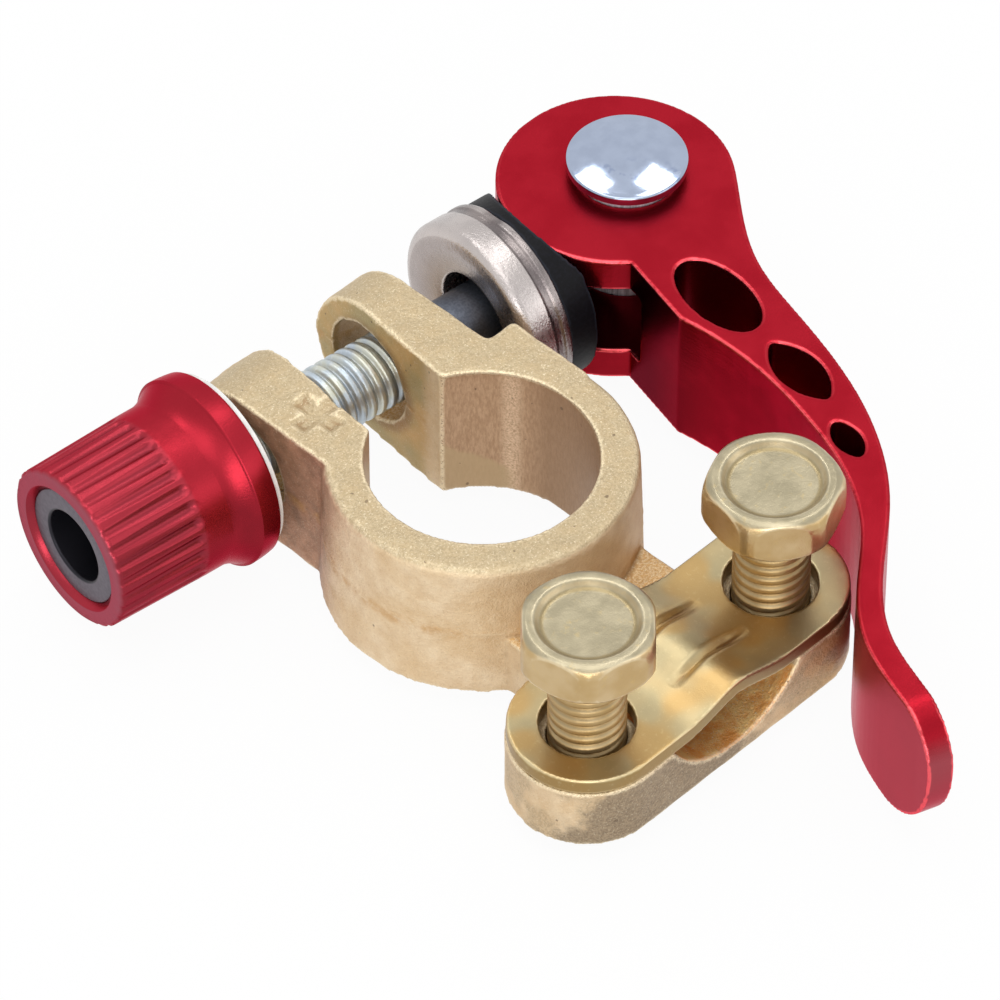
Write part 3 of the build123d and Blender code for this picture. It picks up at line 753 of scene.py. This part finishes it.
# Painted shade and a painted reflection of the black saddle where the arm leaves the cheeks,
# pale on the paddle, and edges on the left rubbed and given a painted highlight.
off_x, off_y = red.x - 23.1, red.y - 6.4
from_root = off_x.sum_of("SQRT", off_x * off_x + off_y * off_y)
dye = tint((1 - up) * from_root.rise(11.0, 2.0) * (red.y < 6.2) * 0.85, dye, colour(30, 9, 14))
dye = tint((1 - up) * from_root.rise(30.0, 44.0) * (red.y < -14.0) * 0.75, dye,
           colour(168, 82, 90))
# Edges facing left are brightened as wear and painted highlight.
rubbed_edge_highlight = wear_highlight_and_shade.rise(0.45, 1.2) * patches(red.place, 0.8, 3.0, 0.6).rise(0.26, 0.5)
rubbed_edge_highlight = rubbed_edge_highlight * (0.12 + 0.88 * red.mark("left").rise(0.05, 0.4))
dye = tint(rubbed_edge_highlight * 0.85, dye, colour(252, 100, 108))
red_anodising = red.done(Base_Color=dye, Metallic=0.95,
                         Roughness=0.25 + fine * 0.1 - (1 - up) * 0.05 + faced * 0.15,
                         Specular_Tint=(1.0, 0.45, 0.5, 1.0),
                         Normal=dented(fine, 0.012, dented(brushed, 0.008)))

# The nut's outline: its end, the fluted wall, the flare, and the flange's rolled rim.
flange_edge = flange_face + 1.9
flare_start = flange_edge + 2.1
wall_rows = [(-nut_end + 0.25 + (flute_length + 0.6) * i / 30,
              nut_end_radius + (nut_radius - nut_end_radius) * i / 30, 0) for i in range(31)]
flare_rows = [(-flare_start + 2.0 * u,
               nut_radius + (flange_radius - 0.2 - nut_radius) * (0.2 * u + 0.8 * u ** 2), 0)
              for u in (0, 0.02, 0.2, 0.4, 0.6, 0.8, 0.97, 1)]
rolled_rows = [(-flange_edge + 1.75 * u, flange_radius - 0.16 * u ** 2, 0)
               for u in (0, 0.03, 0.25, 0.5, 0.75, 0.95, 1)]
insert_bottom = nut_end - insert_recess - insert_length
nut_blank = turned("nut_body", [(-nut_end, nut_end_radius - 0.3, 0)] + wall_rows + flare_rows
                   + rolled_rows + [
    (-flange_face, flange_radius - 0.3, 0.1),
    (-flange_face, nut_bore_radius, 0), (-insert_bottom, nut_bore_radius, 0),
    (-insert_bottom, insert_radius, 0), (-nut_end + insert_recess, insert_radius, 0),
    (-nut_end, insert_radius + 0.5, 0.1)], 420)
nut_body = made_by(flute_tree, "nut_body", nut_blank, Count=30, Cutter=0.62, Depth=0.33,
                   Radius=nut_radius, Start=-nut_end, End=-nut_end + flute_length,
                   **{"Run out": 0.55}, Finish=red_anodising)
# The nut's end is faced off after dyeing, so it is paler than the flutes and the flange.
faced = points_of(nut_body.data)
faced = np.where((faced[:, 2] < -nut_end + 0.03) & (np.hypot(*faced[:, :2].T) > 5.4), 1,
                 np.where(faced[:, 2] < -nut_end + flute_length, 0.26, 0.1))
nut_body.data.attributes.new("faced", "FLOAT", "POINT").data.foreach_set(
    "value", faced.astype(np.float32))
on_stud(nut_body.data)
finished(nut_body, red_anodising, "nut", "adjusting_nut", rounds=0)

# The insert is a ring of dark turned steel, with painted shade darkening its bore.
insert_steel = Finish("insert_steel")
turning = patches(insert_steel.stretched(0.4, 3.0, 3.0), 1.0, 3.0)
steel_skin = tint(turning.rise(0.3, 0.7), colour(84, 77, 86), colour(98, 90, 99))
steel_skin = tint(insert_steel.mark("groove"), steel_skin, colour(36, 35, 42))
dark_steel = insert_steel.done(Base_Color=steel_skin, Roughness=0.4, Metallic=0.7,
                               Normal=dented(turning, 0.006))
insert = turned("nut_insert_ring", [
    (-nut_end + insert_recess, insert_radius - 0.02, 0.15),
    (-insert_bottom, insert_radius - 0.02, 0.1), (-insert_bottom, stud_radius + 0.05, 0.05),
    (-nut_end + insert_recess, stud_radius + 0.05, 0.25)], 96)
deep = np.hypot(*points_of(insert)[:, :2].T) < stud_radius + 0.2
insert.attributes.new("groove", "FLOAT", "POINT").data.foreach_set(
    "value", deep.astype(np.float32))
on_stud(insert)
insert = placed("nut_insert_ring", insert)
finished(insert, dark_steel, "nut", "nut_insert", rounds=0)

# ---- Washer --------------------------------------------------------------------------
# A thin white nylon washer, punched from sheet, lets the nut turn against the ear.
nylon = Finish("white_nylon")
milk = patches(nylon.place, 0.6, 3.0)
white_nylon = nylon.done(Base_Color=tint(milk.rise(0.3, 0.7), colour(226, 226, 222),
                                         colour(244, 244, 242)),
                         Roughness=0.4, Normal=dented(patches(nylon.place, 4.0, 2.0), 0.02))
washer_edge, washer_hole = 7.5, 3.2
washer = turned("washer_ring", [
    (-washer_face, washer_edge, 0.12), (-flange_face, washer_edge, 0.12),
    (-flange_face, washer_hole, 0.05), (-washer_face, washer_hole, 0.05)], 128)
on_stud(washer)
washer = placed("washer_ring", washer)
finished(washer, white_nylon, "nut_carrier", "nut_washer", rounds=0)

# ---- Thrust cup and saddle -----------------------------------------------------------
# The cup is turned and nickel plated; the saddle behind it is moulded in black plastic, with
# a round seat that the cam bears on.
nickel = Finish("nickel")
wear_highlight_and_shade = nickel.mark("wear_highlight_and_shade")
haze = patches(nickel.place, 0.35, 3.0)
scuff = patches(nickel.stretched(2.4, 1.0, 1.0), 1.3, 4.0, 0.65)
cup_skin = tint(haze.rise(0.35, 0.65), colour(116, 108, 108), colour(146, 137, 135))
near_hole = nickel.place.node("ShaderNodeVectorMath", (nickel.place, tuple(stud_middle)),
                              operation="DISTANCE", out=1)
cup_skin = tint(near_hole.rise(16.9, 15.9) * 0.6, cup_skin, colour(190, 178, 173))
# A painted reflection of the brass ear, with painted shade, makes the countersink round the
# hole golden brown.
cup_skin = tint(near_hole.rise(15.7, 14.9) * near_hole.rise(14.4, 14.9) * 0.75, cup_skin,
                colour(150, 124, 90))
cup_skin = tint(scuff.rise(0.56, 0.72) * 0.55 * near_hole.rise(15.8, 16.6), cup_skin,
                colour(96, 84, 84))
# Painted shade in hollows; edges brightened as wear and painted highlight.
cup_skin = tint(wear_highlight_and_shade.rise(-0.4, -1.2) * 0.7, cup_skin, colour(82, 72, 72))
cup_skin = tint(wear_highlight_and_shade.rise(0.4, 1.3) * 0.45, cup_skin, colour(236, 228, 224))
nickel_plate = nickel.done(Base_Color=cup_skin, Roughness=0.2 + scuff * 0.14, Metallic=0.95,
                           Normal=dented(patches(nickel.place, 6.0, 3.0), 0.02,
                                         dented(scuff, 0.05)))
cup_face, cup_back, cup_radius = 14.3, 18.4, 8.2
cup_hole, round_over, rim_groove = 3.85, 0.9, 0.16
shoulder = [(cup_face + round_over - round_over * math.sin(a),
             cup_radius - round_over + round_over * math.cos(a), 0)
            for a in np.linspace(0, math.pi / 2, 9)]
rim = [(cup_back, cup_radius - 0.15, 0.1), (cup_back - 0.15, cup_radius, 0.1),
       (cup_back - 0.62, cup_radius, 0.1), (cup_back - 0.85, cup_radius - rim_groove, 0.1),
       (cup_back - 1.35, cup_radius - rim_groove, 0.1), (cup_back - 1.6, cup_radius, 0.1)]
cup = turned("thrust_cup_ring", rim + shoulder + [
    (cup_face - 0.02, 6.4, 0.3), (cup_face + 0.3, 4.5, 0.3),
    (cup_face + 0.55, cup_hole, 0.2), (cup_back, cup_hole, 0.1)], 180)
# A slight flat on the rim, where the cup has been knocked.
points = points_of(cup)
bearing = np.degrees(np.arctan2(-points[:, 0], points[:, 1]))
gate = np.exp(-((bearing + 10) / 9) ** 2) * (points[:, 2] > cup_back - 1.5)
points[:, :2] *= 1 - 0.03 * (gate * (np.hypot(*points[:, :2].T) > 7.5))[:, None]
put_points(cup, points)
on_stud(cup)
cup = placed("thrust_cup_ring", cup)
finished(cup, nickel_plate, "thrust", "thrust_cup", reach=0.03)

plastic = Finish("black_plastic")
wear_highlight_and_shade = plastic.mark("wear_highlight_and_shade")
satin = patches(plastic.place, 3.0, 3.0, 0.6)
plastic_skin = tint(satin.rise(0.4, 0.7), colour(9, 9, 13), colour(17, 17, 23))
# Edges lightened as wear and painted highlight.
plastic_skin = tint(wear_highlight_and_shade.rise(0.5, 1.4) * 0.2, plastic_skin, colour(66, 72, 86))
black_plastic = plastic.done(Base_Color=plastic_skin, Roughness=0.45 + satin * 0.1,
                             Specular_IOR_Level=0.15, Normal=dented(satin, 0.03))
saddle = solid_copy("saddle_ring", "cam_saddle", 0.16, 2)
finished(saddle, black_plastic, "thrust", "cam_saddle", reach=0.03)

# ---- Cam lever -----------------------------------------------------------------------
# Cut from an aluminium extrusion: round cam, curved arm with an oval and two lens-shaped
# holes, and a rounded paddle. The cam is slotted for the stud; all of it is anodised red.
lever = solid_copy("lever_body", "cam_lever", 0.15, 3)
finished(lever, red_anodising, "lever", "cam_lever", reach=0.035, keep=0.3)

# ---- Pivot pin -----------------------------------------------------------------------
# A polished steel barrel with a domed head, cross-tapped for the stud's end.
dome_bottom, dome_edge, dome_rise, dome_radius = 13.75, 14.5, 0.75, 4.85
polish = Finish("pin_polish")
wisp = patches(polish.stretched(1.0, 1.0, 0.4), 0.8, 3.0)
pin_skin = tint(wisp.rise(0.3, 0.7), colour(163, 174, 195), colour(170, 181, 202))
# A painted reflection: bluish mottle on the head's low side.
painted_reflection_mottle = patches(polish.stretched(1.0, 1.0, 0.2), 0.9, 4.0, 0.65).rise(0.52, 0.68)
low_side = (polish.x + polish.y - pin_x - pin_y).rise(-0.5, -3.5)
pin_skin = tint(painted_reflection_mottle * low_side * 0.55, pin_skin, colour(104, 122, 160))
pin_polish = polish.done(Base_Color=pin_skin, Roughness=0.08 + wisp * 0.05, Metallic=1.0,
                         Normal=dented(wisp, 0.01))

# The solid's own head is drawn in under the turned dome that takes its place.
barrel = solid_copy("pin_barrel", "pivot_pin", 0.17, 2)
points = points_of(barrel.data)
inside = points[:, 2] > dome_bottom - 0.15
for i, middle in ((0, pin_x), (1, pin_y)):
    points[inside, i] = middle + (points[inside, i] - middle) * 0.7
points[inside, 2] = np.minimum(points[inside, 2], dome_edge - 0.2)
put_points(barrel.data, points)
drawn = Finish("pin_barrel_steel")
lines = patches(drawn.stretched(3.0, 3.0, 0.3), 1.0, 3.0, 0.7)
barrel_steel = drawn.done(Base_Color=tint(lines.rise(0.3, 0.7), colour(170, 165, 172),
                                          colour(236, 230, 236)),
                          Roughness=0.5, Metallic=0.3, Normal=dented(lines, 0.04))
finished(barrel, barrel_steel, "stud", "pivot_pin", reach=0.03)
dome = turned("pin_head", [
    (dome_bottom, 0, 0), (dome_bottom, dome_radius, 0.12), (dome_edge, dome_radius, 0.2)] + [
    (dome_edge + dome_rise * (1 - u * u), (dome_radius - 0.15) * u, 0)
    for u in np.linspace(0.98, 0, 16)], 128)
dome.transform(Matrix.Translation(Vector((pin_x, pin_y, 0))))
dome = placed("pin_head", dome)
finished(dome, pin_polish, "stud", rounds=0)
